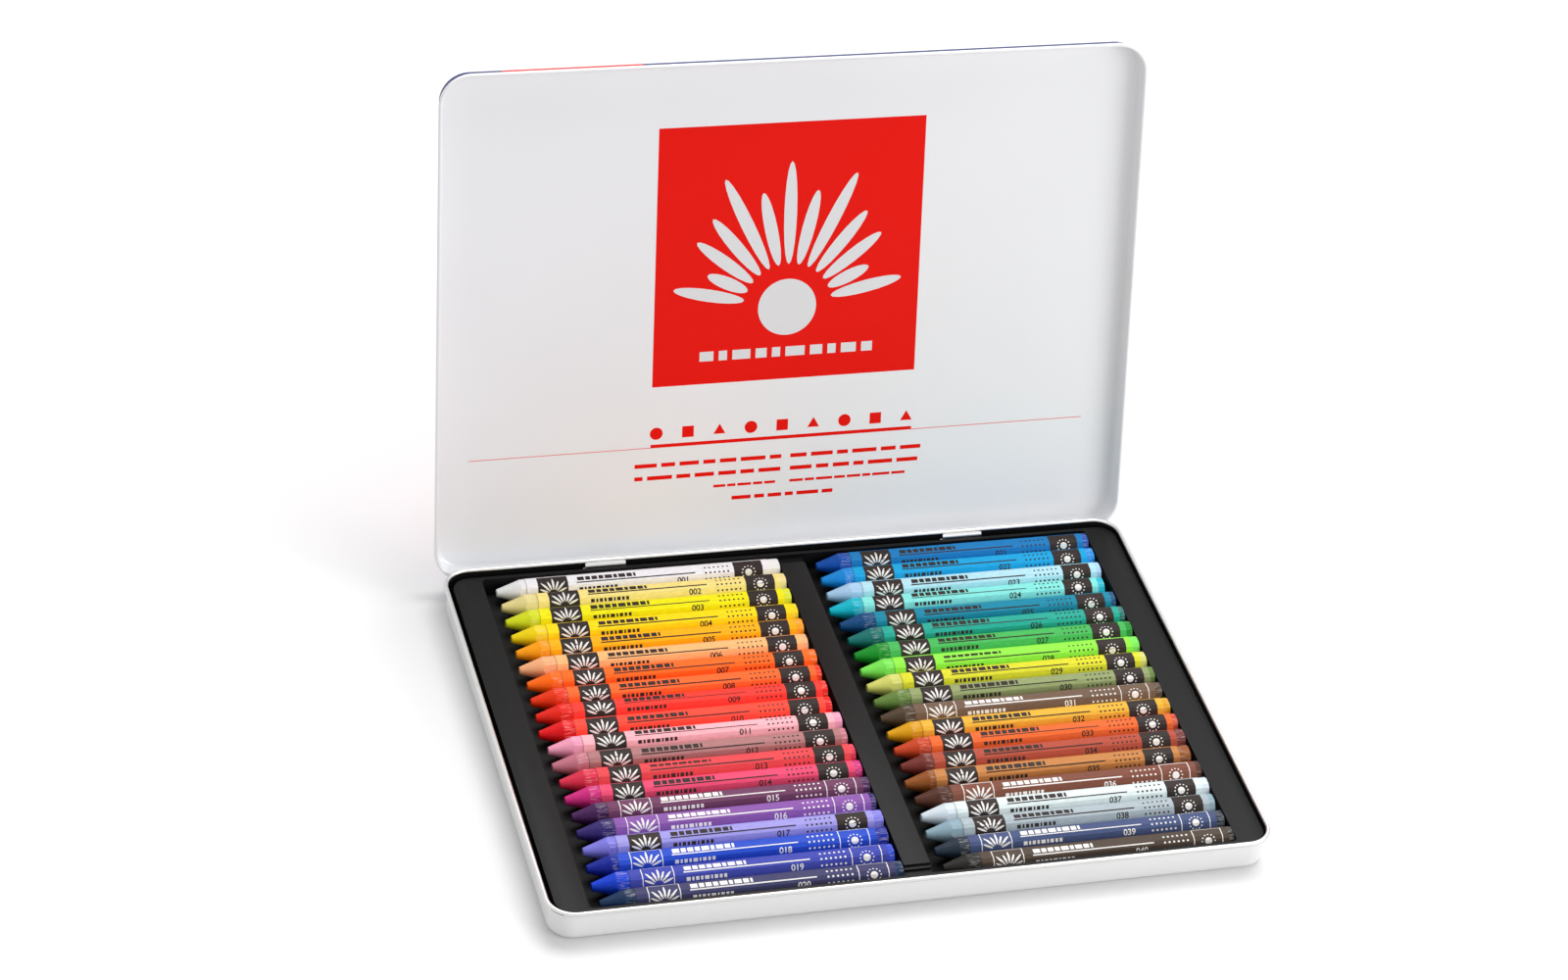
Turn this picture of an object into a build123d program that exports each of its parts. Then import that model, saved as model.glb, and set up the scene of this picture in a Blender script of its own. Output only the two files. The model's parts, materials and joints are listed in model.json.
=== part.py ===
from build123d import *
import math
import os

# A flat hinged tin of forty wax pastels in a formed tray, standing open on a table.
# Origin: centre of the underside. +X to the right, +Y to the hinge, +Z up. Millimetres.

# Rolled edges turn through this angle; they and the bends of the sheet are made of this many flats
roll_wrap = 300.0
roll_flat_count = 10
bend_flat_count = 2

# Sheet stock
tin_sheet = 0.3
tray_sheet = 0.4
paper_sheet = 0.12

# Pastels: bevelled hexagonal wax sticks in paper sleeves
pastel_count = 20
pastel_length = 101.0
pastel_flats = 7.9
pastel_edge_bevel = 0.426
pastel_gap = 0.22
point_length = 9.0
point_flats = 2.7
bare_collar = 3.8
bare_butt = 2.3

# Tray: two bays either side of a bar
tray_stand_off = 0.27
tray_foot_height = 1.3
bay_depth = 7.0
bay_side_gap = 0.2
bay_tip_room = 4.45
bay_butt_gap = 0.25
bay_corner = 1.6
bay_floor_bevel = 0.4
bay_draft = 1.5
pastel_seat_gap = 0.05
bar_width = 9.0
bar_notch_length = 5.0
bar_step_rise = 0.9
bar_step_run = 1.4
shelf_width = 10.63
ledge_width = 1.42
tray_edge_radius = 0.8
tray_side_gap = 1.2
tray_end_gap = 1.6
tray_shift = 0.65

# Base pan with a rim rolled outward
rim_above_shelf = 2.1
rim_roll = 1.6
base_corner = 9.7
base_bend = 2.5

# Lid with a hem rolled outward
lid_slip = 0.2
lid_height = 7.8
lid_bend = 2.4
hem_roll = 1.4
lid_open_angle = 103.4

# Hinge: two tongues of the lid curl in through slots of the rear wall
hinge_drop = 0.4
hinge_setback = 0.1
tongue_width = 14.4
tongue_offset = 65.4
tongue_wrap = 138.0
tongue_clip = 0.9
tongue_relief = 0.6
slot_side_gap = 0.5
slot_gap = 0.2
stop_gap = 0.08

# How far each pastel lies back from its butt wall, rear to front
left_slack = [0.1, 0, 0.4, 0.2, 0.4, 1.1, 0.2, 0.8, 0.9, 1.7, 0.4, 0.9, 0.3, 0.4, 0, 0.2, 0.1, 0.8, 1.1, 0.3]
right_slack = [0.1, 0.5, 0.7, 2.1, 0.6, 0, 0, 0.1, 0.2, 0, 0.1, 0, 0, 0.1, 1.1, 0, 0.2, 1.0, 0.5, 0]

# How far each pastel is turned about its length, in degrees
left_turn = [2, -5, 4, -1, 3, -3, 5, 1, -4, 2, -2, 4, -5, 3, -1, -4, 2, 5, -3, 1]
right_turn = [-3, 2, 4, -2, 1, 5, -4, 3, -1, 4, -5, 2, 0, -3, 5, -2, 3, -4, 1, 2]

# Pastel section
flat_reach = pastel_flats / 2
bevel_reach = pastel_flats / math.sqrt(3) - pastel_edge_bevel
half_flat = 2 * bevel_reach - math.sqrt(3) * flat_reach
pastel_radius = math.hypot(flat_reach, half_flat)
pastel_pitch = 2 * pastel_radius + pastel_gap
row_half = (pastel_count - 1) / 2 * pastel_pitch

# The tray's skirt stands clear of the bend at the foot of the base's wall
inner_bend = base_bend - tin_sheet
skirt_inset = min(tray_side_gap - abs(tray_shift), inner_bend)
bend_drop = math.sqrt((inner_bend - tray_stand_off) ** 2 - (inner_bend - skirt_inset) ** 2)

# Tray levels and outline
tray_bottom = tin_sheet + inner_bend - bend_drop
bay_floor_z = tray_bottom + tray_foot_height + tray_sheet
shelf_z = bay_floor_z + bay_depth
bay_flare = bay_depth * math.tan(math.radians(bay_draft))
bay_length = bay_butt_gap + pastel_length + bay_tip_room + 2 * bay_flare
bay_half_y = row_half + pastel_radius + bay_side_gap + bay_flare
tray_half_x = bar_width / 2 + bay_length + shelf_width
tray_half_y = bay_half_y + ledge_width
bar_half_y = bay_half_y - bar_notch_length

# Base outline: the wall's inner and outer faces
wall_in_x = tray_half_x + tray_side_gap
wall_in_y = tray_half_y + tray_end_gap
wall_out_y = wall_in_y + tin_sheet
wall_in_corner = base_corner - rim_roll
base_width = 2 * (wall_in_x + rim_roll)
base_depth = 2 * (wall_in_y + rim_roll)
base_height = shelf_z + rim_above_shelf
tray_corner = wall_in_corner - tray_end_gap

# Lid outline: the skirt's inner face clears the rim
skirt_in_x = base_width / 2 + lid_slip
skirt_in_y = base_depth / 2 + lid_slip
skirt_in_corner = base_corner + lid_slip

# Hinge line just under the rim, just behind the rear wall
hinge_y = wall_out_y + hinge_setback
hinge_z = base_height - rim_roll - hinge_drop
tongue_outer = skirt_in_y + tin_sheet - hinge_y
tongue_inner = tongue_outer - tin_sheet

# The rear hem bears on the rear wall at the open angle, which sets the height of the hem
open_turn = math.radians(lid_open_angle)
hem_reach = skirt_in_y + hem_roll / 2 - hinge_y
stop_reach = wall_out_y + stop_gap + hem_roll / 2 - hinge_y
hem_centre_z = hinge_z + (stop_reach - hem_reach * math.cos(open_turn)) / math.sin(open_turn)
hem_z = hem_centre_z - hem_roll / 2
lid_top = hem_z + lid_height


def rounded_slab(half_x, half_y, corner, bottom, height):
    outline = RectangleRounded(2 * half_x, 2 * half_y, corner)
    return Pos(0, 0, bottom) * extrude(outline, height)


def ring_point(radius, degrees):
    angle = math.radians(degrees)
    return Vector(radius * math.cos(angle), radius * math.sin(angle))


def arc_points(middle, radius, start, end, count):
    # From one angle to another, in degrees, in equal steps
    step = (end - start) / count
    return [middle + ring_point(radius, start + step * i) for i in range(count + 1)]


def shell_section(height, bend, roll):
    # One wall cut across: x outward from its inner face, y up from the sheet's outside
    bend_middle = Vector(tin_sheet - bend, bend)
    roll_middle = Vector(roll / 2, height - roll / 2)
    lip = 180 - roll_wrap
    points = arc_points(bend_middle, bend, -90, 0, bend_flat_count)
    points += arc_points(roll_middle, roll / 2 - tin_sheet, 180, lip, roll_flat_count // 2)
    points += arc_points(roll_middle, roll / 2, lip, 180, roll_flat_count)
    points += arc_points(bend_middle, bend - tin_sheet, 0, -90, bend_flat_count)
    return make_face(Polyline(*points, close=True))


def wall_path(half_x, half_y, corner):
    # Once round a wall's inner face, from the middle of its rear side
    x = half_x - corner
    y = half_y - corner
    rear_right = Line((0, half_y), (x, half_y))
    corner_1 = CenterArc((x, y), corner, 90, -90)
    right = Line((half_x, y), (half_x, -y))
    corner_2 = CenterArc((x, -y), corner, 0, -90)
    front = Line((x, -half_y), (-x, -half_y))
    corner_3 = CenterArc((-x, -y), corner, -90, -90)
    left = Line((-half_x, -y), (-half_x, y))
    corner_4 = CenterArc((-x, y), corner, 180, -90)
    rear_left = Line((-x, half_y), (0, half_y))
    return Wire([rear_right, corner_1, right, corner_2, front, corner_3, left, corner_4, rear_left])


def rolled_shell(half_x, half_y, corner, height, bend, roll):
    # A drawn pan standing on z = 0, its edge rolled outward: half sizes and corner of its inner face
    across = Plane(origin=(0, half_y, 0), x_dir=(0, 1, 0), z_dir=(1, 0, 0))
    wall = sweep(across * shell_section(height, bend, roll), path=wall_path(half_x, half_y, corner))
    inset = bend - tin_sheet
    return wall + rounded_slab(half_x - inset, half_y - inset, corner - inset, 0, tin_sheet)


def hinge_slot(side):
    top = hinge_z - math.sqrt(tongue_inner**2 - (hinge_y - wall_in_y) ** 2) + slot_gap
    bottom = hinge_z - tongue_outer - slot_gap
    width = tongue_width + 2 * slot_side_gap
    cutter = Box(width, 4 * tin_sheet, top - bottom)
    return Pos(side * tongue_offset, wall_in_y + tin_sheet / 2, (top + bottom) / 2) * cutter


def base_pan():
    pan = rolled_shell(wall_in_x, wall_in_y, wall_in_corner, base_height, base_bend, rim_roll)
    return pan - [hinge_slot(-1), hinge_slot(1)]


def hinge_tongue(side, root_z):
    # Straight down from the skirt to the hinge line, then curled in under it to a clipped tip
    rise = root_z - hinge_z
    tip_outer = ring_point(tongue_outer, -tongue_wrap)
    tip_inner = ring_point(tongue_inner, -tongue_wrap)
    strip = Polyline((tongue_inner, 0), (tongue_inner, rise), (tongue_outer, rise), (tongue_outer, 0))
    outside = ThreePointArc((tongue_outer, 0), ring_point(tongue_outer, -tongue_wrap / 2), tip_outer)
    tip = Line(tip_outer, tip_inner)
    inside = ThreePointArc(tip_inner, ring_point(tongue_inner, -tongue_wrap / 2), (tongue_inner, 0))
    section_plane = Plane(origin=(0, hinge_y, hinge_z), x_dir=(0, 1, 0), z_dir=(1, 0, 0))
    section = section_plane * make_face([strip, outside, tip, inside])
    tongue = extrude(section, tongue_width / 2, both=True)
    tip_point = section_plane.from_local_coords((tip_outer + tip_inner) / 2)
    clipped = [edge for edge in tongue.edges() if edge.length < 2 * tin_sheet]
    clipped = [edge for edge in clipped if abs(edge.center().Z - tip_point.Z) < tin_sheet]
    clipped = [edge for edge in clipped if edge.center().Y < hinge_y]
    return Pos(side * tongue_offset, 0, 0) * chamfer(clipped, tongue_clip)


def hem_relief(side):
    # Where the rolled hem is cut away at a tongue and beside it
    block = Box(tongue_width + 2 * tongue_relief, 3 * hem_roll, 2 * hem_roll)
    return Pos(side * tongue_offset, skirt_in_y, hem_z + hem_roll / 2) * block


def closed_lid():
    shell = rolled_shell(skirt_in_x, skirt_in_y, skirt_in_corner, lid_height, lid_bend, hem_roll)
    shell = Pos(0, 0, lid_top) * Rot(180, 0, 0) * shell
    root_z = hem_z + 2 * hem_roll
    shell = shell - [hem_relief(-1), hem_relief(1)]
    return shell + [hinge_tongue(-1, root_z), hinge_tongue(1, root_z)]


def lid_shell():
    # The lid as it stands open, turned back about the hinge line
    hinge_line = Axis((0, hinge_y, hinge_z), (1, 0, 0))
    return closed_lid().rotate(hinge_line, -lid_open_angle)


def bay_cavity(side, grow):
    # One bay, its sides and floor moved out by grow, narrowing downward by the draft
    length = bay_length + 2 * grow
    outline = RectangleRounded(length, 2 * (bay_half_y + grow), bay_corner + grow)
    cavity = extrude(outline, -(bay_depth + grow), taper=bay_draft)
    cavity = chamfer(cavity.faces().sort_by(Axis.Z)[0].edges(), bay_floor_bevel)
    return Pos(side * (bar_width + bay_length) / 2, 0, shelf_z) * cavity


def notch_cavity(grow):
    # Two steps down at the rear end of the bar, closed by the end wall of the bays
    first = -(bar_step_rise + grow)
    second = -(2 * bar_step_rise + grow)
    start = bar_half_y - grow
    tread = start + bar_step_run
    wall = bay_half_y + grow
    wall_foot = wall + second * math.tan(math.radians(bay_draft))
    across = Plane(origin=(0, 0, shelf_z), x_dir=(0, 1, 0), z_dir=(1, 0, 0))
    riser_1 = [(start, 0), (start, first), (tread, first)]
    riser_2 = [(tread, second), (wall_foot, second), (wall, 0)]
    outline = Polygon(*riser_1, *riser_2, align=None)
    return extrude(across * outline, bar_width / 2 + bay_corner + grow, both=True)


def tray_cavities(grow):
    notch = notch_cavity(grow)
    return [bay_cavity(-1, grow), bay_cavity(1, grow), notch, mirror(notch, about=Plane.XZ)]


def insert_tray():
    height = shelf_z - tray_bottom
    block = rounded_slab(tray_half_x, tray_half_y, tray_corner, tray_bottom, height)
    block = fillet(block.faces().sort_by(Axis.Z)[-1].edges(), tray_edge_radius)
    inner_x = tray_half_x - tray_sheet
    inner_y = tray_half_y - tray_sheet
    core = rounded_slab(inner_x, inner_y, tray_corner - tray_sheet, tray_bottom, height - tray_sheet)
    core = chamfer(core.faces().sort_by(Axis.Z)[-1].edges(), tray_edge_radius - tray_sheet)
    tray = (block - core) + tray_cavities(tray_sheet) - tray_cavities(0)
    return Pos(tray_shift, 0, 0) * tray


def pastel_outline(inset):
    # Six flats with bevelled corners, one flat down
    flat = flat_reach - inset
    bevel = bevel_reach - inset
    half = 2 * bevel - math.sqrt(3) * flat
    corner = math.degrees(math.atan2(half, flat))
    radius = math.hypot(flat, half)
    points = []
    for turn in range(30, 390, 60):
        points.append(ring_point(radius, turn - corner))
        points.append(ring_point(radius, turn + corner))
    return Polygon(*points, align=None)


def pastel():
    # Along +X from the tip at x = 0
    stick = pastel_outline(paper_sheet)
    narrowing = (pastel_flats / 2 - paper_sheet - point_flats / 2) / point_length
    point = extrude(stick, point_length, taper=math.degrees(math.atan(narrowing)))
    wax = Rot(180, 0, 0) * point + extrude(stick, pastel_length - point_length)
    wax = Pos(0, 0, point_length) * wax
    sleeve_start = point_length + bare_collar
    sleeve_length = pastel_length - bare_butt - sleeve_start
    sleeve = Pos(0, 0, sleeve_start) * extrude(pastel_outline(0) - stick, sleeve_length)
    along = Plane(origin=(0, 0, 0), x_dir=(0, 1, 0), z_dir=(1, 0, 0))
    return along * wax, along * sleeve


def pastel_rise(turn):
    # Height of a turned pastel's middle over the face it rests on
    corner = math.degrees(math.atan2(half_flat, flat_reach))
    return pastel_radius * math.cos(math.radians(corner - abs(turn)))


def placed_pastel(row, number, slack, turn):
    # Butt at the right end of its bay, tip to the left
    butt_wall = tray_shift - bar_width / 2 if row == "left" else tray_shift + bar_width / 2 + bay_length
    tip_x = butt_wall - bay_flare - bay_butt_gap - slack - pastel_length
    y = row_half - (number - 1) * pastel_pitch
    z = bay_floor_z + pastel_seat_gap + pastel_rise(turn)
    wax, sleeve = pastel()
    place = Pos(tip_x, y, z) * Rot(turn, 0, 0)
    return Compound([place * wax, place * sleeve])


def write(shape, node):
    export_step(shape, f"parts/{node}.step")


os.makedirs("parts", exist_ok=True)
write(base_pan(), "base_pan")
write(lid_shell(), "lid_shell")
write(insert_tray(), "insert_tray")
for number in range(1, pastel_count + 1):
    slack_l = left_slack[(number - 1) % len(left_slack)]
    slack_r = right_slack[(number - 1) % len(right_slack)]
    turn_l = left_turn[(number - 1) % len(left_turn)]
    turn_r = right_turn[(number - 1) % len(right_turn)]
    write(placed_pastel("left", number, slack_l, turn_l), f"pastel_left_{number:02d}")
    write(placed_pastel("right", number, slack_r, turn_r), f"pastel_right_{number:02d}")

print("base", round(base_width, 2), round(base_depth, 2), round(base_height, 2))
print("hinge line y, z", round(hinge_y, 3), round(hinge_z, 3), "closed height", round(lid_top, 2))
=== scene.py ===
# %% [markdown]
# # A flat tin of forty wax pastels, standing open
# This lesson dresses a measured model of a hinged tin. The frame holds the exact parts and joints,
# and each step here makes one piece of it as fine as the real one: drawn sheet, a formed tray, wax,
# paper and print. Everything is in metres, with x to the right, y to the hinge and z up.

# %% Load the frame
import bpy
import json
import math
from mathutils import Matrix, Vector


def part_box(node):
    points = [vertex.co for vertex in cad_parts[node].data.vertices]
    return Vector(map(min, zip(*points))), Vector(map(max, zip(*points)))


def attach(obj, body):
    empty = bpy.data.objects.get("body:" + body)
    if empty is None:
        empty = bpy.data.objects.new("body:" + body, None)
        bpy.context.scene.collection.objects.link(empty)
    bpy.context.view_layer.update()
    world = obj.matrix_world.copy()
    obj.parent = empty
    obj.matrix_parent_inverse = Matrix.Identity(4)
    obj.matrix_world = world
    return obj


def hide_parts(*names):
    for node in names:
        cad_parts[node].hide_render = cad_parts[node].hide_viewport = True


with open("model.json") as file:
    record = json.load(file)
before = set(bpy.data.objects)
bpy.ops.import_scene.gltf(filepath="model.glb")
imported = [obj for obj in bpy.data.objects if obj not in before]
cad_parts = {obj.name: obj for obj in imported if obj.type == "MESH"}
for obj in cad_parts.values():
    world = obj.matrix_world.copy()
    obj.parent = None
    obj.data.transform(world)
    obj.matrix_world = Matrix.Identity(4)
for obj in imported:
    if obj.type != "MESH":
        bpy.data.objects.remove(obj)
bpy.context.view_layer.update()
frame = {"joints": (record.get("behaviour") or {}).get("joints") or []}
MM = 0.001

# %% [markdown]
# ## Working habits
# An operator acts on whatever is selected, and the frame arrives with its parts selected. So every
# piece begins with an empty selection. Faces and edges are then picked in code, by where they are.

# %% Selection and edit helpers
SMOOTH_UNDER = math.radians(35)
MERGE_GAP = 0.001 * MM


def clear_selection():
    if bpy.context.object and bpy.context.object.mode != "OBJECT":
        bpy.ops.object.mode_set(mode="OBJECT")
    bpy.ops.object.select_all(action="DESELECT")


def take(piece):
    clear_selection()
    piece.select_set(True)
    bpy.context.view_layer.objects.active = piece


def edit(piece, element):
    # Edit mode with nothing selected: element is VERT, EDGE or FACE
    take(piece)
    bpy.ops.object.mode_set(mode="EDIT")
    bpy.ops.mesh.select_mode(type=element)
    bpy.ops.mesh.select_all(action="DESELECT")
    bpy.ops.object.mode_set(mode="OBJECT")


def pick_faces(piece, wanted):
    edit(piece, "FACE")
    for face in piece.data.polygons:
        face.select = wanted(face)
    bpy.ops.object.mode_set(mode="EDIT")


def pick_edges(piece, wanted):
    edit(piece, "EDGE")
    points = piece.data.vertices
    for edge in piece.data.edges:
        edge.select = wanted(points[edge.vertices[0]].co, points[edge.vertices[1]].co)
    bpy.ops.object.mode_set(mode="EDIT")


def finish_piece(piece, angle=SMOOTH_UNDER):
    take(piece)
    bpy.ops.object.transform_apply(location=True, rotation=True, scale=True)
    bpy.ops.object.shade_smooth_by_angle(angle=angle)


def place(piece, matrix):
    piece.matrix_world = matrix @ piece.matrix_world
    take(piece)
    bpy.ops.object.transform_apply(location=True, rotation=True, scale=True)


def apply_modifier(piece, kind, **settings):
    take(piece)
    modifier = piece.modifiers.new(kind.lower(), kind)
    for name, value in settings.items():
        setattr(modifier, name, value)
    bpy.ops.object.modifier_apply(modifier=modifier.name)


def cut_away(piece, cutters):
    for cutter in cutters:
        apply_modifier(piece, "BOOLEAN", object=cutter, operation="DIFFERENCE", solver="EXACT")
        bpy.data.objects.remove(cutter)


def block(name, low, high):
    # A box primitive between two corners, as a cutter
    clear_selection()
    middle = (Vector(low) + Vector(high)) / 2
    bpy.ops.mesh.primitive_cube_add(size=1, location=middle)
    piece = bpy.context.object
    piece.name = name
    piece.scale = Vector(high) - Vector(low)
    bpy.ops.object.transform_apply(location=True, rotation=True, scale=True)
    return piece


# %% [markdown]
# ## Materials from nodes
# Colours are written as the hex values that a paint chart would use. The renderer works in linear
# light, so one function converts them. One more function adds a node with its settings and links,
# which keeps each material short enough to read from top to bottom.

# %% Colour and node helpers
def linear(hex_colour):
    channels = [int(hex_colour[i:i + 2], 16) / 255 for i in (0, 2, 4)]
    return tuple(c / 12.92 if c <= 0.04045 else ((c + 0.055) / 1.055) ** 2.4 for c in channels) + (1.0,)


def add(tree, kind, inputs=None, **settings):
    node = tree.nodes.new(kind)
    for name, value in settings.items():
        setattr(node, name, value)
    for name, value in (inputs or {}).items():
        if isinstance(value, bpy.types.NodeSocket):
            tree.links.new(value, node.inputs[name])
        else:
            node.inputs[name].default_value = value
    return node


def new_material(name):
    material = bpy.data.materials.new(name)
    material.use_nodes = True
    material.node_tree.nodes.clear()
    return material, material.node_tree


def per_mm(size):
    # The scale of a noise whose features are this many millimetres across
    return 1 / (size * MM)


# %% [markdown]
# ## Sizes of the real tin
# These are the sizes that the exact model was built from, so that a dressed piece sits where its
# part sits. They are written in millimetres and turned to metres when a shape is made.

# %% Sizes
tin_sheet = 0.3
tray_sheet = 0.4
base_low, base_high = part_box("base_pan")
tray_low, tray_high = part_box("insert_tray")
rim_roll = 1.6
hem_roll = 1.4
base_corner = 9.7
base_bend = 2.5
lid_bend = 2.4
lid_height = 7.8
lid_slip = 0.2
lid_open_angle = 103.4
wall_in_x = base_high.x / MM - rim_roll
wall_in_y = base_high.y / MM - rim_roll
wall_in_corner = base_corner - rim_roll
base_height = base_high.z / MM
skirt_in_x = base_high.x / MM + lid_slip
skirt_in_y = base_high.y / MM + lid_slip
skirt_in_corner = base_corner + lid_slip
hinge = next(joint for joint in frame["joints"] if "lid_hinge" in str(joint))
print("base", round(base_height, 2), "high,", round(2 * (wall_in_x + rim_roll), 1), "wide")

# %% [markdown]
# ## One drawn shell for the base and the lid
# The base and the lid are each drawn from one sheet of tinplate: a flat panel, a soft bend, an
# upright wall and an edge rolled outward into a bead. The shape could be assembled from boxes and
# tubes, but then the bend and the bead would show seams. Here one vertex is pulled along the wall's
# cross-section, and that line is carried once round the outline, spinning at each corner.

# %% Draw the section and carry it round
ROLL_TURN = math.radians(300)
ROLL_STEPS = 20
BEND_STEPS = 6
CORNER_STEPS = 12
BEAD_MARGIN = 0.02 * MM
INSIDE, BEAD, OUTSIDE, CURL, BAND = range(5)


def push(x=0.0, y=0.0, z=0.0):
    move = {"value": (x * MM, y * MM, z * MM)}
    bpy.ops.mesh.extrude_region_move(TRANSFORM_OT_translate=move)


def spin(steps, angle, centre, axis):
    # The spin tool turns the opposite way to a rotation matrix, so its angle is given negative
    middle = [value * MM for value in centre]
    bpy.ops.mesh.spin(steps=steps, angle=-angle, center=middle, axis=axis)


def single_point(name, x, y, z):
    # A small plane merged to its middle: the pencil point that draws a section
    clear_selection()
    bpy.ops.mesh.primitive_plane_add(size=MM)
    piece = bpy.context.object
    piece.name = name
    bpy.ops.object.mode_set(mode="EDIT")
    bpy.ops.mesh.select_mode(type="VERT")
    bpy.ops.mesh.select_all(action="SELECT")
    bpy.ops.mesh.merge(type="CENTER")
    bpy.ops.transform.translate(value=(x * MM, y * MM, z * MM))
    return piece


def rolled_shell(name, half_x, half_y, corner, height, bend, roll):
    # The sheet's inner face, from the panel's edge up the rear wall and round the bead
    x = half_x - corner
    y = half_y - corner
    inner_bend = bend - tin_sheet
    piece = single_point(name, x, half_y - inner_bend, tin_sheet)
    spin(BEND_STEPS, math.radians(90), (x, half_y - inner_bend, bend), (1, 0, 0))
    push(z=height - roll / 2 - bend)
    spin(ROLL_STEPS, -ROLL_TURN, (x, half_y + roll / 2, height - roll / 2), (1, 0, 0))
    bpy.ops.mesh.select_all(action="SELECT")
    quarter = math.radians(-90)
    spin(CORNER_STEPS, quarter, (x, y, 0), (0, 0, 1))
    push(y=-2 * y)
    spin(CORNER_STEPS, quarter, (x, -y, 0), (0, 0, 1))
    push(x=-2 * x)
    spin(CORNER_STEPS, quarter, (-x, -y, 0), (0, 0, 1))
    push(y=2 * y)
    spin(CORNER_STEPS, quarter, (-x, y, 0), (0, 0, 1))
    push(x=2 * x)
    bpy.ops.mesh.select_all(action="SELECT")
    bpy.ops.mesh.remove_doubles(threshold=MERGE_GAP)
    over_panel = tin_sheet * MM + 10 * MERGE_GAP
    pick_edges(piece, lambda a, b: a.z < over_panel and b.z < over_panel)
    bpy.ops.mesh.edge_face_add()
    bpy.ops.mesh.select_all(action="SELECT")
    bpy.ops.mesh.normals_make_consistent(inside=False)
    bpy.ops.object.mode_set(mode="OBJECT")
    # An open shell has no outside of its own, so the panel's face says which way is in
    panel = max(piece.data.polygons, key=lambda face: face.area)
    if panel.normal.z < 0:
        edit(piece, "FACE")
        bpy.ops.object.mode_set(mode="EDIT")
        bpy.ops.mesh.select_all(action="SELECT")
        bpy.ops.mesh.flip_normals()
        bpy.ops.object.mode_set(mode="OBJECT")
    return piece


def paint_shell(piece, half_x, half_y, height, roll, finishes):
    # Inside and bead are marked first, and the thickness gives their backs the next two finishes
    for finish in finishes:
        piece.data.materials.append(finish)
    bead_foot = (height - 1.5 * roll) * MM
    bead_middle = (height - roll / 2) * MM
    for face in piece.data.polygons:
        beyond = max(abs(face.center.x) - half_x * MM, abs(face.center.y) - half_y * MM)
        turned_out = beyond > BEAD_MARGIN or face.center.z > bead_middle
        face.material_index = BEAD if turned_out and face.center.z > bead_foot else INSIDE
    apply_modifier(
        piece, "SOLIDIFY", thickness=tin_sheet * MM, offset=-1, use_even_offset=True,
        material_offset=2, material_offset_rim=1,
    )


# %% [markdown]
# ## Enamels and bare tinplate
# Tinplate is rolled steel with a bright tin skin. Colour is roller coated on the flat sheet and
# baked, so it lies very smooth with a faint orange peel, and shines softly. Where the edge is
# rolled, the coat thins and the sheet shows brighter.

# %% Enamel and tinplate
def enamel(name, colour, roughness, coat, specular=0.5):
    # Baked enamel on drawn tinplate: even colour, a soft shine and a faint orange peel
    material, tree = new_material(name)
    place_on = add(tree, "ShaderNodeTexCoord")
    peel = add(tree, "ShaderNodeTexNoise", {"Vector": place_on.outputs["Object"], "Scale": per_mm(0.9)})
    cloud = add(tree, "ShaderNodeTexNoise", {"Vector": place_on.outputs["Object"], "Scale": per_mm(60)})
    shade = add(tree, "ShaderNodeMapRange", {"Value": cloud.outputs["Fac"], "To Min": 0.97, "To Max": 1.03})
    tint = add(tree, "ShaderNodeHueSaturation", {"Color": linear(colour), "Value": shade.outputs["Result"]})
    gloss = add(
        tree, "ShaderNodeMapRange",
        {"Value": cloud.outputs["Fac"], "To Min": roughness - 0.04, "To Max": roughness + 0.04},
    )
    bump = add(
        tree, "ShaderNodeBump",
        {"Height": peel.outputs["Fac"], "Strength": 0.05, "Distance": 0.05 * MM},
    )
    surface = add(tree, "ShaderNodeBsdfPrincipled", {
        "Base Color": tint.outputs["Color"], "Roughness": gloss.outputs["Result"],
        "Normal": bump.outputs["Normal"], "IOR": 1.5, "Specular IOR Level": specular,
        "Coat Weight": coat, "Coat Roughness": 0.12,
    })
    add(tree, "ShaderNodeOutputMaterial", {"Surface": surface.outputs["BSDF"]})
    return material


def tinplate(name, colour, roughness):
    # Bright tin on rolled steel: fine drawing lines along the edge that it was rolled on
    material, tree = new_material(name)
    place_on = add(tree, "ShaderNodeTexCoord")
    lines = add(
        tree, "ShaderNodeMapping", {"Vector": place_on.outputs["Object"], "Scale": (0.04, 0.04, 1.0)}
    )
    grain = add(tree, "ShaderNodeTexNoise", {"Vector": lines.outputs["Vector"], "Scale": per_mm(0.25)})
    gloss = add(
        tree, "ShaderNodeMapRange",
        {"Value": grain.outputs["Fac"], "To Min": roughness - 0.08, "To Max": roughness + 0.08},
    )
    bump = add(
        tree, "ShaderNodeBump", {"Height": grain.outputs["Fac"], "Strength": 0.1, "Distance": 0.02 * MM}
    )
    surface = add(tree, "ShaderNodeBsdfPrincipled", {
        "Base Color": linear(colour), "Metallic": 1.0, "Roughness": gloss.outputs["Result"],
        "Normal": bump.outputs["Normal"],
    })
    add(tree, "ShaderNodeOutputMaterial", {"Surface": surface.outputs["BSDF"]})
    return material


white_outside = enamel("baked_enamel_white", "E9E9E9", 0.34, 0.3)
black_inside = enamel("baked_enamel_black", "161616", 0.24, 0.6)
white_inside = enamel("baked_enamel_white_lid_inside", "F3F4F7", 0.3, 0.4)
navy_outside = enamel("baked_enamel_navy", "162566", 0.38, 0.0, 0.16)
red_band = enamel("baked_enamel_red_band", "D8180E", 0.38, 0.0, 0.16)
bright_tin = tinplate("tinplate_rolled_bright", "D6D6D4", 0.3)
print("enamels made")

# %% [markdown]
# ## The base
# The base is white outside and black inside, with a bright bead all round. Its rear wall has two
# slots for the lid's hinge tongues, which are punched through after the shell has its thickness.

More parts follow.
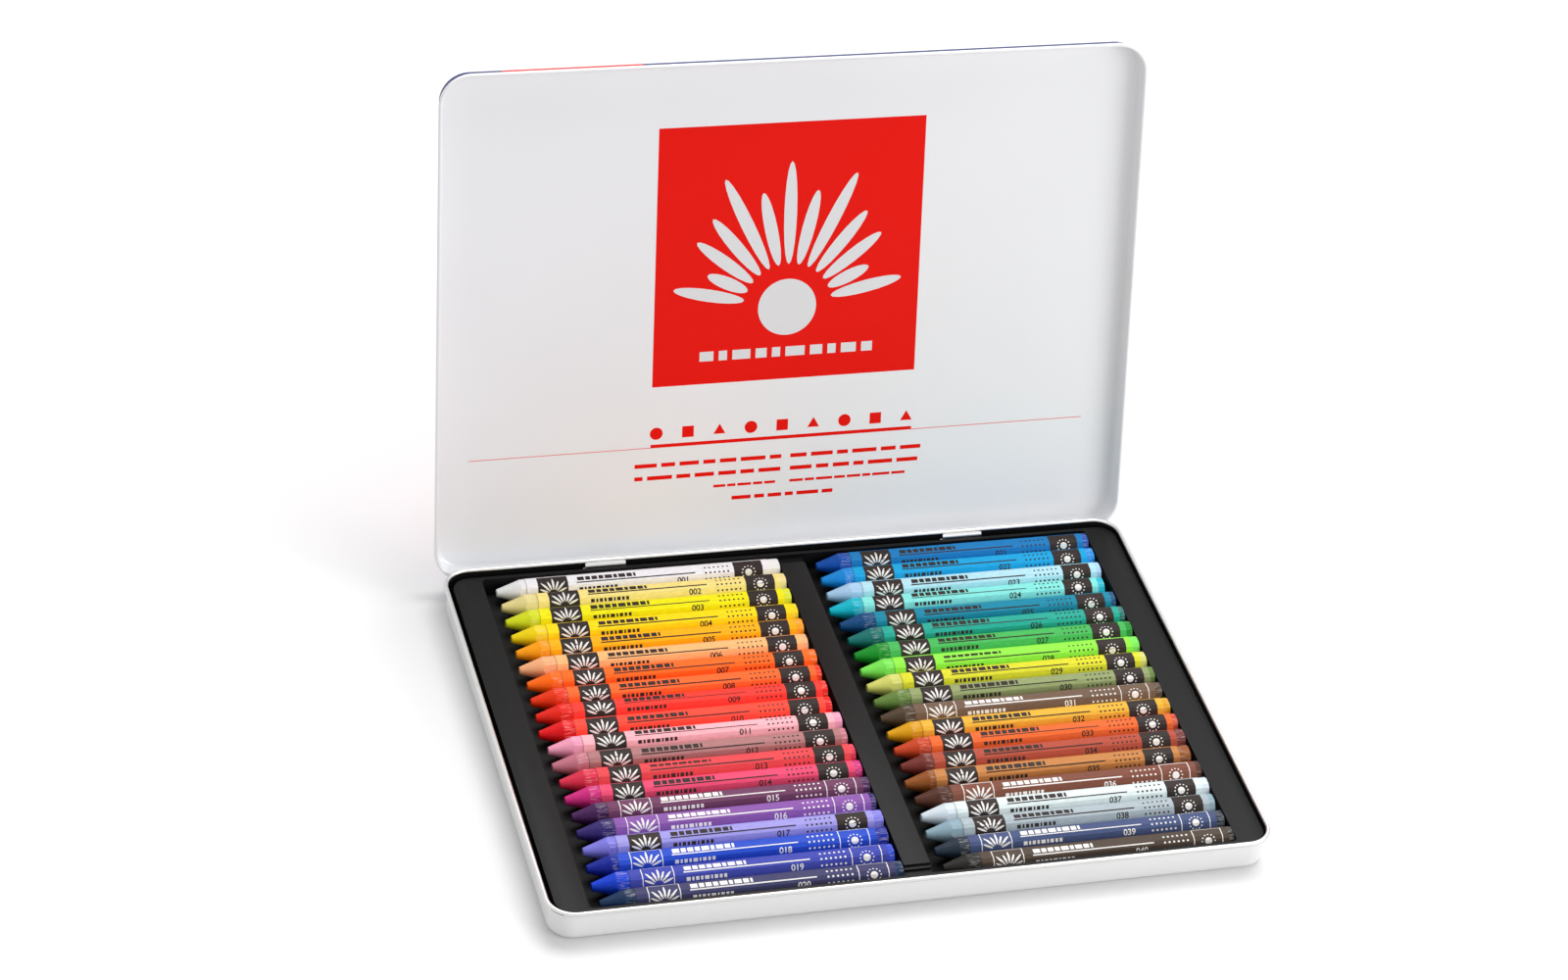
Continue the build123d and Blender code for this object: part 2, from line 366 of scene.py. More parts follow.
# %% Base pan
hinge_point = Vector(hinge["pos_m"])
tongue_width = 14.4
tongue_offset = 65.4
slot_side_gap = 0.5
slot_gap = 0.2
tongue_outer = skirt_in_y + tin_sheet - hinge_point.y / MM
tongue_inner = tongue_outer - tin_sheet
behind = hinge_point.y / MM - wall_in_y

base = rolled_shell("base_shell", wall_in_x, wall_in_y, wall_in_corner, base_height, base_bend, rim_roll)
base_finishes = (black_inside, bright_tin, white_outside, bright_tin)
paint_shell(base, wall_in_x, wall_in_y, base_height, rim_roll, base_finishes)
slot_top = hinge_point.z / MM - math.sqrt(tongue_inner**2 - behind**2) + slot_gap
slot_foot = hinge_point.z / MM - tongue_outer - slot_gap
slot_half = tongue_width / 2 + slot_side_gap
slots = []
for side in (-1, 1):
    slot_low = Vector((side * tongue_offset - slot_half, wall_in_y - tin_sheet, slot_foot)) * MM
    slot_high = Vector((side * tongue_offset + slot_half, wall_in_y + 2 * tin_sheet, slot_top)) * MM
    slots.append(block("hinge_slot", slot_low, slot_high))
cut_away(base, slots)
finish_piece(base)
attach(base, "base")
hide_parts("base_pan")
print("base faces", len(base.data.polygons))

# %% [markdown]
# ## The thumb ridge
# A faint ridge pressed out low on the front wall marks where a thumb lifts the lid. It is a ball
# drawn out long and thin, and half of it lies inside the sheet.

# %% Thumb ridge
ridge_reach = Vector((9.5, 0.3, 0.45))
ridge_middle = Vector((0, -wall_in_y - tin_sheet, base_bend + 0.1)) * MM
clear_selection()
bpy.ops.mesh.primitive_uv_sphere_add(segments=40, ring_count=16, radius=MM, location=ridge_middle)
ridge = bpy.context.object
ridge.name = "thumb_ridge"
bpy.ops.object.mode_set(mode="EDIT")
bpy.ops.mesh.select_all(action="SELECT")
bpy.ops.transform.resize(value=ridge_reach, center_override=ridge_middle)
bpy.ops.object.mode_set(mode="OBJECT")
bpy.ops.object.transform_apply(location=True, rotation=True, scale=True)
ridge.data.materials.append(white_outside)
finish_piece(ridge)
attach(ridge, "base")
print("thumb ridge", round(2 * ridge_reach.x, 1), "mm long")

# %% [markdown]
# ## The lid
# The lid is the same kind of shell, upside down over the base and turned back about the hinge line.
# It is navy outside with a broad red band, and white inside. The band is cut into the mesh with two
# straight cuts, so its edge stays sharp at any distance.

# %% Lid shell
hem_reach = skirt_in_y + hem_roll / 2 - hinge_point.y / MM
stop_gap = 0.08
stop_reach = wall_in_y + tin_sheet + stop_gap + hem_roll / 2 - hinge_point.y / MM
open_turn = math.radians(lid_open_angle)
hem_middle_z = hinge_point.z / MM + (stop_reach - hem_reach * math.cos(open_turn)) / math.sin(open_turn)
hem_z = hem_middle_z - hem_roll / 2
lid_top = hem_z + lid_height
lid_over = Matrix.Translation((0, 0, lid_top * MM)) @ Matrix.Rotation(math.pi, 4, "X")
about_hinge = Matrix.Rotation(-open_turn, 4, "X")
lid_opened = Matrix.Translation(hinge_point) @ about_hinge @ Matrix.Translation(-hinge_point)
band_left = -103.2
band_right = -54.8


def straight_cut(piece, x):
    edit(piece, "FACE")
    bpy.ops.object.mode_set(mode="EDIT")
    bpy.ops.mesh.select_all(action="SELECT")
    bpy.ops.mesh.bisect(plane_co=(x * MM, 0, 0), plane_no=(1, 0, 0))
    bpy.ops.object.mode_set(mode="OBJECT")


# %% [markdown]
# The lid is drawn the right way up, like the base. It is turned over while it is still shut,
# relieved where the tongues leave the hem, and opened last, so that every cut is made square.

# %% Draw, cut and open the lid
lid = rolled_shell("lid_cover", skirt_in_x, skirt_in_y, skirt_in_corner, lid_height, lid_bend, hem_roll)
lid_finishes = (white_inside, white_inside, navy_outside, navy_outside, red_band)
paint_shell(lid, skirt_in_x, skirt_in_y, lid_height, hem_roll, lid_finishes)
place(lid, lid_over)
tongue_relief = 0.6
relief_reach = Vector((tongue_width / 2 + tongue_relief, 1.5 * hem_roll, hem_roll))
reliefs = []
for side in (-1, 1):
    relief_middle = Vector((side * tongue_offset, skirt_in_y, hem_z + hem_roll / 2))
    relief_low = (relief_middle - relief_reach) * MM
    relief_high = (relief_middle + relief_reach) * MM
    reliefs.append(block("hem_relief", relief_low, relief_high))
cut_away(lid, reliefs)
straight_cut(lid, band_left)
straight_cut(lid, band_right)
for face in lid.data.polygons:
    if face.material_index == OUTSIDE and band_left * MM < face.center.x < band_right * MM:
        face.material_index = BAND
place(lid, lid_opened)
finish_piece(lid)
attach(lid, "lid")
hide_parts("lid_shell")

# %% [markdown]
# ## The hinge tongues
# Two tongues of the lid's own sheet pass down behind the rear wall and curl in through its slots.
# Each is drawn as a line, spun round the hinge, widened by one extrusion and given its thickness.
# Their tips are clipped at the corners, as a press tool leaves them.

# %% Hinge tongues
tongue_turn = math.radians(138)
tongue_clip = 0.9
TONGUE_STEPS = 16
AT_TIP = 0.05 * MM


def hinge_tongue(name, middle_x):
    root_z = hem_z + 2 * hem_roll
    hinge_z = hinge_point.z / MM
    start_x = middle_x - tongue_width / 2
    piece = single_point(name, start_x, hinge_point.y / MM + tongue_inner, root_z)
    push(z=hinge_z - root_z)
    hinge_middle = (start_x, hinge_point.y / MM, hinge_z)
    spin(TONGUE_STEPS, -tongue_turn, hinge_middle, (1, 0, 0))
    bpy.ops.mesh.select_all(action="SELECT")
    push(x=tongue_width)
    tip = hinge_point + Matrix.Rotation(-tongue_turn, 3, "X") @ Vector((0, tongue_inner * MM, 0))
    edit(piece, "VERT")
    for point in piece.data.vertices:
        point.select = (point.co.yz - tip.yz).length < AT_TIP
    bpy.ops.object.mode_set(mode="EDIT")
    bpy.ops.mesh.bevel(offset=tongue_clip * MM, affect="VERTICES", segments=1)
    bpy.ops.mesh.select_all(action="SELECT")
    bpy.ops.mesh.normals_make_consistent(inside=False)
    bpy.ops.object.mode_set(mode="OBJECT")
    piece.data.materials.append(bright_tin)
    return piece


for side, name in ((-1, "hinge_tongue_left"), (1, "hinge_tongue_right")):
    tongue = hinge_tongue(name, side * tongue_offset)
    root = max(tongue.data.polygons, key=lambda face: face.center.z)
    outward = -1 if root.normal.y > 0 else 1
    apply_modifier(tongue, "SOLIDIFY", thickness=tin_sheet * MM, offset=-outward, use_even_offset=True)
    place(tongue, lid_opened)
    finish_piece(tongue)
    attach(tongue, "lid")
    print(name, len(tongue.data.polygons), "faces")

# %% [markdown]
# ## The tray
# The tray is formed from one thin sheet of dark plastic drawn down over a mould. A vacuum former
# gives soft edges and slightly sloping sides, so the bays are cut from a block by tapered boxes,
# every edge is rounded, and only then does the skin get its thickness.

# %% Tray sizes
bar_width = 9.0
pastel_length = 101.0
pastel_count = 20
tray_end_gap = 1.6
tray_corner = wall_in_corner - tray_end_gap
shelf_z = tray_high.z / MM
bay_depth = 7.0
bay_draft = math.radians(1.5)
bay_flare = bay_depth * math.tan(bay_draft)
butt_gap = 0.25
tip_room = 4.45
bay_length = butt_gap + pastel_length + tip_room + 2 * bay_flare
ledge_width = 1.42
bay_corner = 1.6
bar_notch_length = 5.0
bar_step_rise = 0.9
bar_step_run = 1.4
step_inset = 0.03
tray_middle = (tray_low.x + tray_high.x) / 2 / MM
bay_half_y = tray_high.y / MM - ledge_width
bar_half_y = bay_half_y - bar_notch_length
print("bay", round(bay_length, 2), "by", round(2 * bay_half_y, 2))

# %% [markdown]
# The block and the bays are boxes with rounded corners. A bay's box is narrower at its foot, which
# is the slope that frees the formed sheet from its mould.

# %% Rounded boxes for the block and its bays
def rounded_box(name, low, high, corner, steps):
    piece = block(name, Vector(low) * MM, Vector(high) * MM)
    pick_edges(piece, lambda a, b: abs(a.z - b.z) > MERGE_GAP)
    bpy.ops.mesh.bevel(offset=corner * MM, affect="EDGES", segments=steps)
    bpy.ops.object.mode_set(mode="OBJECT")
    return piece


def draft_sides(piece, floor_z, narrowing, middle_x):
    # The points of the lower face are drawn in on every side
    low = floor_z * MM + MERGE_GAP
    for point in piece.data.vertices:
        if point.co.z < low:
            point.co.x -= math.copysign(narrowing * MM, point.co.x - middle_x * MM)
            point.co.y -= math.copysign(narrowing * MM, point.co.y)


# %% [markdown]
# The cutters are two bays and the steps at the ends of the bar. The block's underside is then taken
# off, because a formed sheet is open below.

# %% Form the tray
soft_edge = 0.45
tray = rounded_box("formed_tray", tray_low / MM, tray_high / MM, tray_corner, 8)
cutters = []
floor_z = shelf_z - bay_depth
bay_top = shelf_z + 1
for side in (-1, 1):
    middle_x = tray_middle + side * (bar_width + bay_length) / 2
    low = (middle_x - bay_length / 2, -bay_half_y, floor_z)
    high = (middle_x + bay_length / 2, bay_half_y, bay_top)
    cutter = rounded_box("bay_cutter", low, high, bay_corner, 5)
    draft_sides(cutter, floor_z, bay_flare, middle_x)
    cutters.append(cutter)
across = bar_width / 2 + bay_corner
for end in (-1, 1):
    for start, drop in ((bar_half_y, bar_step_rise), (bar_half_y + bar_step_run, 2 * bar_step_rise)):
        near, far = sorted((end * start, end * (bay_half_y - step_inset)))
        low = Vector((tray_middle - across, near, shelf_z - drop)) * MM
        high = Vector((tray_middle + across, far, bay_top)) * MM
        cutters.append(block("bar_step", low, high))
cut_away(tray, cutters)
pick_faces(tray, lambda face: face.normal.z < -0.9)
bpy.ops.mesh.delete(type="FACE")
bpy.ops.mesh.select_all(action="SELECT")
bpy.ops.mesh.remove_doubles(threshold=MERGE_GAP)
bpy.ops.object.mode_set(mode="OBJECT")
apply_modifier(
    tray, "BEVEL", width=soft_edge * MM, segments=3, limit_method="ANGLE",
    angle_limit=math.radians(40), use_clamp_overlap=True,
)
apply_modifier(tray, "SOLIDIFY", thickness=tray_sheet * MM, offset=-1, use_even_offset=False)
print("tray faces", len(tray.data.polygons))

# %% [markdown]
# ## Black formed plastic
# The sheet has a fine matt grain from the mould, which breaks the light into a soft grey sheen on
# the flat shelves and leaves the deep bays black.

# %% Tray plastic
def formed_plastic(name, colour):
    # Vacuum formed polystyrene: satin, with a fine even grain about a third of a millimetre across
    material, tree = new_material(name)
    place_on = add(tree, "ShaderNodeTexCoord")
    grain = add(tree, "ShaderNodeTexNoise", {
        "Vector": place_on.outputs["Object"], "Scale": per_mm(0.35), "Detail": 3.0,
    })
    cloud = add(tree, "ShaderNodeTexNoise", {"Vector": place_on.outputs["Object"], "Scale": per_mm(25)})
    shade = add(tree, "ShaderNodeMapRange", {"Value": cloud.outputs["Fac"], "To Min": 0.9, "To Max": 1.1})
    tint = add(tree, "ShaderNodeHueSaturation", {"Color": linear(colour), "Value": shade.outputs["Result"]})
    gloss = add(tree, "ShaderNodeMapRange", {"Value": grain.outputs["Fac"], "To Min": 0.36, "To Max": 0.52})
    bump = add(
        tree, "ShaderNodeBump", {"Height": grain.outputs["Fac"], "Strength": 0.35, "Distance": 0.06 * MM}
    )
    surface = add(tree, "ShaderNodeBsdfPrincipled", {
        "Base Color": tint.outputs["Color"], "Roughness": gloss.outputs["Result"],
        "Normal": bump.outputs["Normal"], "IOR": 1.55, "Specular IOR Level": 0.13,
    })
    add(tree, "ShaderNodeOutputMaterial", {"Surface": surface.outputs["BSDF"]})
    return material


tray.data.materials.append(formed_plastic("polystyrene_formed_black", "101010"))
finish_piece(tray)
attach(tray, "tray")
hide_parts("insert_tray")
print("tray wears", tray.data.materials[0].name)

# %% [markdown]
# ## One wax stick
# Each pastel is a hexagonal stick with its long edges bevelled, cast in a mould, and its tip turned
# to a blunt cone. Where the round cone runs out through the flat sides it leaves scalloped
# shoulders. That is what an intersection of the two shapes gives, so the stick is made that way.

# %% Wax stick
pastel_flats = 7.9
edge_bevel = 0.426
paper = 0.12
flat_reach = pastel_flats / 2
bevel_reach = pastel_flats / math.sqrt(3) - edge_bevel
half_flat = 2 * bevel_reach - math.sqrt(3) * flat_reach
half_bevel = 2 * flat_reach - math.sqrt(3) * bevel_reach
print("flat", round(2 * half_flat, 2), "bevel", round(2 * half_bevel, 2), "mm wide")
tip_reach = 1.3
tip_slope = 0.33
collar_from = (flat_reach - paper - tip_reach) / tip_slope
sleeve_from = 11.7
sleeve_to = 98.7
tip_round = 0.12
butt_round = 0.3
along_x = Matrix.Rotation(math.pi / 2, 4, "Y")


def hexagon_stick(name, reach, bevelled_reach, start, end, fill):
    # A six-sided cylinder starts with a corner on +Y, so a flat side ends up underneath
    clear_selection()
    corner_radius = reach / math.cos(math.radians(30))
    middle = (0, 0, (start + end) / 2 * MM)
    bpy.ops.mesh.primitive_cylinder_add(
        vertices=6, radius=corner_radius * MM, depth=(end - start) * MM, location=middle,
        end_fill_type=fill,
    )
    piece = bpy.context.object
    piece.name = name
    bpy.ops.object.transform_apply(location=True, rotation=True, scale=True)
    pick_edges(piece, lambda a, b: abs(a.z - b.z) > MM)
    flat_half = 2 * bevelled_reach - math.sqrt(3) * reach
    bpy.ops.mesh.bevel(offset=(corner_radius / 2 - flat_half) * MM, affect="EDGES", segments=1)
    bpy.ops.object.mode_set(mode="OBJECT")
    return piece


# %% [markdown]
# The cone is longer than the stick, so that it only touches it at the tip. The shading is smoothed
# across its narrow facets, and the shoulder stays sharp, because its angle is wider.

# %% Turn the tip and soften the ends
SMOOTH_CONE = math.radians(14)
stick = hexagon_stick("wax_stick", flat_reach - paper, bevel_reach - paper, 0, pastel_length, "NGON")
clear_selection()
turned_length = pastel_length + 2
bpy.ops.mesh.primitive_cone_add(
    vertices=64, radius1=tip_reach * MM, radius2=(tip_reach + tip_slope * turned_length) * MM,
    depth=turned_length * MM, location=(0, 0, turned_length / 2 * MM),
)
turned = bpy.context.object
turned.name = "turned_cone"
apply_modifier(stick, "BOOLEAN", object=turned, operation="INTERSECT", solver="EXACT")
bpy.data.objects.remove(turned)
pick_edges(stick, lambda a, b: a.z < MERGE_GAP and b.z < MERGE_GAP)
bpy.ops.mesh.bevel(offset=tip_round * MM, affect="EDGES", segments=2)
bpy.ops.object.mode_set(mode="OBJECT")
butt_z = pastel_length * MM - MERGE_GAP
pick_edges(stick, lambda a, b: a.z > butt_z and b.z > butt_z)
bpy.ops.mesh.bevel(offset=butt_round * MM, affect="EDGES", segments=2)
bpy.ops.object.mode_set(mode="OBJECT")
place(stick, along_x)
finish_piece(stick, SMOOTH_CONE)
print("wax stick", len(stick.data.polygons), "faces")

# %% [markdown]
# ## The paper sleeve
# A printed paper sleeve is glued round each stick. It stops short of the tip, which leaves a collar
# of bare wax, and just short of the butt. It is an open tube with the thickness of paper.

# %% Paper sleeve
SMOOTH_PAPER = math.radians(20)
sleeve_sheet = 0.8 * paper
sleeve = hexagon_stick("paper_sleeve", flat_reach, bevel_reach, sleeve_from, sleeve_to, "NOTHING")
take(sleeve)
bpy.ops.object.mode_set(mode="EDIT")
bpy.ops.mesh.select_all(action="SELECT")
bpy.ops.mesh.normals_make_consistent(inside=False)
bpy.ops.object.mode_set(mode="OBJECT")
apply_modifier(sleeve, "SOLIDIFY", thickness=sleeve_sheet * MM, offset=-1)
place(sleeve, along_x)
finish_piece(sleeve, SMOOTH_PAPER)
print("sleeve", len(sleeve.data.polygons), "faces")

# %% [markdown]
# ## The print on the sleeve
# The print is drawn flat, as on the paper before it is wrapped: solid blocks, a row of short bars for
# a heading, a rule, rows of dots and the pastel's number. The drawing is then cut along the folds of
# the hexagon and each point is moved onto its face of the stick, which keeps every mark sharp. Ink
# is given as thin pieces a few hundredths of a millimetre over the paper.

# %% Flat shapes for print
def blank_sheet(name):
    # An empty mesh, left in edit mode, that flat shapes are added to
    clear_selection()
    bpy.ops.mesh.primitive_plane_add(size=MM)
    piece = bpy.context.object
    piece.name = name
    bpy.ops.object.mode_set(mode="EDIT")
    bpy.ops.mesh.select_all(action="SELECT")
    bpy.ops.mesh.delete(type="VERT")
    return piece


def bar(x_from, x_to, y_from, y_to):
    middle = ((x_from + x_to) / 2 * MM, (y_from + y_to) / 2 * MM, 0)
    bpy.ops.mesh.primitive_plane_add(size=MM, location=middle)
    size = (abs(x_to - x_from), abs(y_to - y_from), 1)
    bpy.ops.transform.resize(value=size, center_override=middle)


def outline_bar(x_from, x_to, y_from, y_to, line):
    bar(x_from, x_to, y_from, y_from + line)
    bar(x_from, x_to, y_to - line, y_to)
    bar(x_from, x_from + line, y_from + line, y_to - line)
    bar(x_to - line, x_to, y_from + line, y_to - line)


def dot(x, y, radius, points=14):
    bpy.ops.mesh.primitive_circle_add(
        vertices=points, radius=radius * MM, fill_type="NGON", location=(x * MM, y * MM, 0)
    )


def ray(x, y, angle, start, end, width):
    # A rounded stroke that points away from x, y, wider at its outer end
    centre = (x * MM, y * MM, 0)
    middle = ((x + (start + end) / 2) * MM, y * MM, 0)
    bpy.ops.mesh.primitive_circle_add(vertices=20, radius=MM / 2, fill_type="NGON", location=middle)
    bpy.ops.transform.resize(value=(end - start, width, 1), center_override=middle)
    bpy.ops.transform.rotate(value=-math.radians(angle), orient_axis="Z", center_override=centre)


def leave_sheet(piece):
    bpy.ops.object.mode_set(mode="OBJECT")
    return piece


# %% [markdown]
# The label's x is the distance from the tip, and its y is measured round the stick from the upper
# front edge. Dark prints carry a solid block at each end, pale prints only its outline.

# %% Parts of the label
block_reach = 4.3
block_from = 15.8
block_to = 26.5
seal_from = 86.0
seal_to = 96.4
seal_middle = Vector(((seal_from + seal_to) / 2, -0.9))
outline = 0.3
fan_foot = Vector((21.2, -3.1))
fan_rays = 7
ring_dots = 12
dot_rows = (2.35, 0.1, -2.1)
dot_pitch = 1.62
heading_bars = (2.4, 1.7, 2.0, 1.7, 2.6, 1.3, 2.4, 1.9, 0.8)
small_bars = (1.3, 0.7, 1.1, 0.8, 1.5, 0.6, 1.2, 0.9, 1.0)


def broken_line(x, y, height, lengths, gap):
    for length in lengths:
        bar(x, x + length, y, y + height)
        x += length + gap


def label_marks():
    # Heading on the upper face, small line on the front face, dots over both; the number is joined on when
    # the label is folded
    broken_line(30.0, 1.15, 1.9, heading_bars, gap=0.5)
    bar(x_from=29.6, x_to=72.0, y_from=0.26, y_to=0.7)
    broken_line(30.4, -2.6, 1.25, small_bars, gap=0.55)
    for column in range(6):
        for y in dot_rows:
            dot(75.8 + dot_pitch * column, y, radius=0.37)


def label_motif():
    # A small fan of strokes, long and short in turn, and a ring of dots near the butt
    for step in range(fan_rays):
        reach = 6.2 if step % 2 else 5.2
        ray(fan_foot.x, fan_foot.y, 24 + 22 * step, start=1.6, end=reach, width=0.72)
    for step in range(ring_dots):
        spoke = Matrix.Rotation(math.tau * step / ring_dots, 2) @ Vector((2.3, 0))
        dot(*(seal_middle + spoke), radius=0.28, points=8)
    dot(*seal_middle, radius=1.25, points=20)


dark_marks = blank_sheet("label_dark")
bar(block_from, block_to, -block_reach, block_reach)
bar(seal_from, seal_to, -block_reach, block_reach)
label_marks()
leave_sheet(dark_marks)
pale_motif = blank_sheet("label_motif")
label_motif()
leave_sheet(pale_motif)
outline_marks = blank_sheet("label_outline")
outline_bar(block_from, block_to, -block_reach, block_reach, outline)
outline_bar(seal_from, seal_to, -block_reach, block_reach, outline)
label_marks()
label_motif()
leave_sheet(outline_marks)
print("label faces", len(dark_marks.data.polygons), len(pale_motif.data.polygons))

# %% [markdown]
# Folding is one calculation for each point. The label is cut along the folds first, so that no face
# has to bend, and a point on a fold comes to the same place from either side.

# %% Fold a flat label round the stick
number_size = 2.9
number_weight = 0.05
number_place = Vector((65.4, -2.75, 0))
panel_step = half_flat + half_bevel
folds = (-half_bevel - 2 * half_flat, -half_bevel, half_bevel, half_bevel + 2 * half_flat)


def on_stick(x, across, lift):
    # Panel 0 is the bevel between the upper face and the front face; across grows towards the rear
    panel = 0
    for fold in folds:
        panel += across > fold
    panel -= 2
    reach = (bevel_reach if panel % 2 == 0 else flat_reach) + lift
    angle = math.radians(120 - 30 * panel)
    along = across - panel * panel_step
    outward = Vector((0, math.cos(angle), math.sin(angle)))
    sideways = Vector((0, math.sin(angle), -math.cos(angle)))
    return Vector((x, 0, 0)) + reach * outward + along * sideways


def fold_label(master, name, shift, lift, extra=None):
    piece = master.copy()
    piece.data = master.data.copy()
    piece.name = name
    bpy.context.collection.objects.link(piece)
    take(piece)
    if extra:
        extra.select_set(True)
        bpy.ops.object.join()
    bpy.ops.object.mode_set(mode="EDIT")
    bpy.ops.mesh.select_all(action="SELECT")
    bpy.ops.transform.translate(value=(0, shift * MM, 0))
    for fold in folds:
        bpy.ops.mesh.select_all(action="SELECT")
        bpy.ops.mesh.bisect(plane_co=(0, fold * MM, 0), plane_no=(0, 1, 0))
    bpy.ops.object.mode_set(mode="OBJECT")
    for point in piece.data.vertices:
        point.co = on_stick(point.co.x / MM, point.co.y / MM, lift) * MM
    return piece


def number_mesh(number):
    # Plain digits, made a mesh before they are moved to their place on the front face
    clear_selection()
    bpy.ops.object.text_add()
    text = bpy.context.object
    text.data.body = f"{number:03d}"
    text.data.size = number_size * MM
    text.data.offset = number_weight * MM
    bpy.ops.object.convert(target="MESH")
    text.data.transform(Matrix.Translation(number_place * MM))
    return text


# %% [markdown]
# ## Wax, paper and ink
# Wax takes scuffs that show paler than the stick, most of all on the bare collar, where the sleeve
# is pushed on. Each pastel gets its own colours and its own place in the noise, so that no two are
# marked alike.

# %% Wax
def blend_colour(tree, factor, first, second):
    return add(tree, "ShaderNodeMix", {0: factor, 6: first, 7: second}, data_type="RGBA")


def pressed_wax(name, colour, number, tip_x):
    # Moulded wax: soft sheen and slight clouding, with pale scuffs from the shoulder backwards
    material, tree = new_material(name)
    place_on = add(tree, "ShaderNodeTexCoord")
    own = add(tree, "ShaderNodeMapping", {
        "Vector": place_on.outputs["Object"], "Location": (0.37 * number, 0.11 * number, 0.0),
        "Scale": (0.16, 1.0, 1.0),
    })
    along = add(tree, "ShaderNodeSeparateXYZ", {"Vector": place_on.outputs["Object"]})
    scuff = add(tree, "ShaderNodeMapRange", {
        "Value": along.outputs["X"], "From Min": tip_x + collar_from * MM,
        "From Max": tip_x + (collar_from + 0.6) * MM, "To Min": 0.02, "To Max": 0.32,
    })
    cloud = add(tree, "ShaderNodeTexNoise", {"Vector": place_on.outputs["Object"], "Scale": per_mm(3.5)})
    streak = add(tree, "ShaderNodeTexNoise", {
        "Vector": own.outputs["Vector"], "Scale": per_mm(0.45), "Detail": 4.0,
    })
    shade = add(tree, "ShaderNodeMapRange", {"Value": cloud.outputs["Fac"], "To Min": 0.9, "To Max": 1.1})
    tint = add(tree, "ShaderNodeHueSaturation", {"Color": linear(colour), "Value": shade.outputs["Result"]})
    marks = add(tree, "ShaderNodeMapRange", {
        "Value": streak.outputs["Fac"], "From Min": 0.5, "From Max": 0.75, "To Min": 0.0,
        "To Max": scuff.outputs["Result"],
    })
    body = blend_colour(tree, marks.outputs["Result"], tint.outputs["Color"], linear("F4EEE6"))
    gloss = add(tree, "ShaderNodeMapRange", {"Value": streak.outputs["Fac"], "To Min": 0.34, "To Max": 0.62})
    bump = add(
        tree, "ShaderNodeBump", {"Height": streak.outputs["Fac"], "Strength": 0.25, "Distance": 0.12 * MM}
    )
    surface = add(tree, "ShaderNodeBsdfPrincipled", {
        "Base Color": body.outputs["Result"], "Roughness": gloss.outputs["Result"],
        "Normal": bump.outputs["Normal"], "IOR": 1.44, "Specular IOR Level": 0.22,
    })
    add(tree, "ShaderNodeOutputMaterial", {"Surface": surface.outputs["BSDF"]})
    return material


# %% [markdown]
# The paper is dyed to match its wax. Its fibres lie mostly along the stick, and a fine line of painted shade
# darkens the paper along its cut edge round the collar, where the sleeve stands over the wax.

# %% Paper
def dyed_paper(name, colour, number, edge_x):
    # Thin machine-made paper, dyed and calendered: fine fibres, a faint sheen, and painted shade along the
    # cut edge
    material, tree = new_material(name)
    place_on = add(tree, "ShaderNodeTexCoord")
    own = add(tree, "ShaderNodeMapping", {
        "Vector": place_on.outputs["Object"], "Location": (0.23 * number, 0.0, 0.0), "Scale": (0.3, 1.0, 1.0),
    })
    fibre = add(tree, "ShaderNodeTexNoise", {
        "Vector": own.outputs["Vector"], "Scale": per_mm(0.7), "Detail": 5.0,
    })
    shade = add(tree, "ShaderNodeMapRange", {"Value": fibre.outputs["Fac"], "To Min": 0.78, "To Max": 1.22})
    along = add(tree, "ShaderNodeSeparateXYZ", {"Vector": place_on.outputs["Object"]})
    # Painted shade: the paper is darkened to 55 percent within 0.15 mm of its cut edge, and is back to full
    # by 0.3 mm
    painted_edge_shade = add(tree, "ShaderNodeMapRange", {
        "Value": along.outputs["X"], "From Min": edge_x + 0.15 * MM, "From Max": edge_x + 0.3 * MM,
        "To Min": 0.55, "To Max": 1.0,
    })
    # Fibre tone multiplied by the painted edge shade
    depth = add(
        tree, "ShaderNodeMath", {0: shade.outputs["Result"], 1: painted_edge_shade.outputs["Result"]}, operation="MULTIPLY"
    )
    tint = add(tree, "ShaderNodeHueSaturation", {"Color": linear(colour), "Value": depth.outputs["Value"]})
    bump = add(
        tree, "ShaderNodeBump", {"Height": fibre.outputs["Fac"], "Strength": 0.15, "Distance": 0.03 * MM}
    )
    surface = add(tree, "ShaderNodeBsdfPrincipled", {
        "Base Color": tint.outputs["Color"], "Roughness": 0.5, "Normal": bump.outputs["Normal"],
        "IOR": 1.48, "Specular IOR Level": 0.2,
    })
    add(tree, "ShaderNodeOutputMaterial", {"Surface": surface.outputs["BSDF"]})
    return material


# %% [markdown]
# Two inks serve all forty labels: a dark one for light papers and a pale one for dark papers.

# %% Ink
def printing_ink(name, colour):
    # Letterpress ink soaked a little into the paper: uneven in depth, nearly matt
    material, tree = new_material(name)
    place_on = add(tree, "ShaderNodeTexCoord")
    soak = add(tree, "ShaderNodeTexNoise", {"Vector": place_on.outputs["Object"], "Scale": per_mm(0.6)})
    shade = add(tree, "ShaderNodeMapRange", {"Value": soak.outputs["Fac"], "To Min": 0.85, "To Max": 1.15})
    tint = add(tree, "ShaderNodeHueSaturation", {"Color": linear(colour), "Value": shade.outputs["Result"]})
    surface = add(tree, "ShaderNodeBsdfPrincipled", {
        "Base Color": tint.outputs["Color"], "Roughness": 0.55, "IOR": 1.48, "Specular IOR Level": 0.2,
    })
    add(tree, "ShaderNodeOutputMaterial", {"Surface": surface.outputs["BSDF"]})
    return material


dark_ink = printing_ink("ink_dark_brown", "2E2522")
pale_ink = printing_ink("ink_pale", "EFECE8")
print("inks", dark_ink.name, pale_ink.name)

# %% [markdown]
# ## Forty pastels
# The colours run from white to navy in the left bay and from azure to black in the right one. For
# each pastel there is the wax colour, the paper colour, and whether its print is dark or pale. The
# turns are in degrees and the shifts in millimetres, because no row of pastels is laid quite evenly.

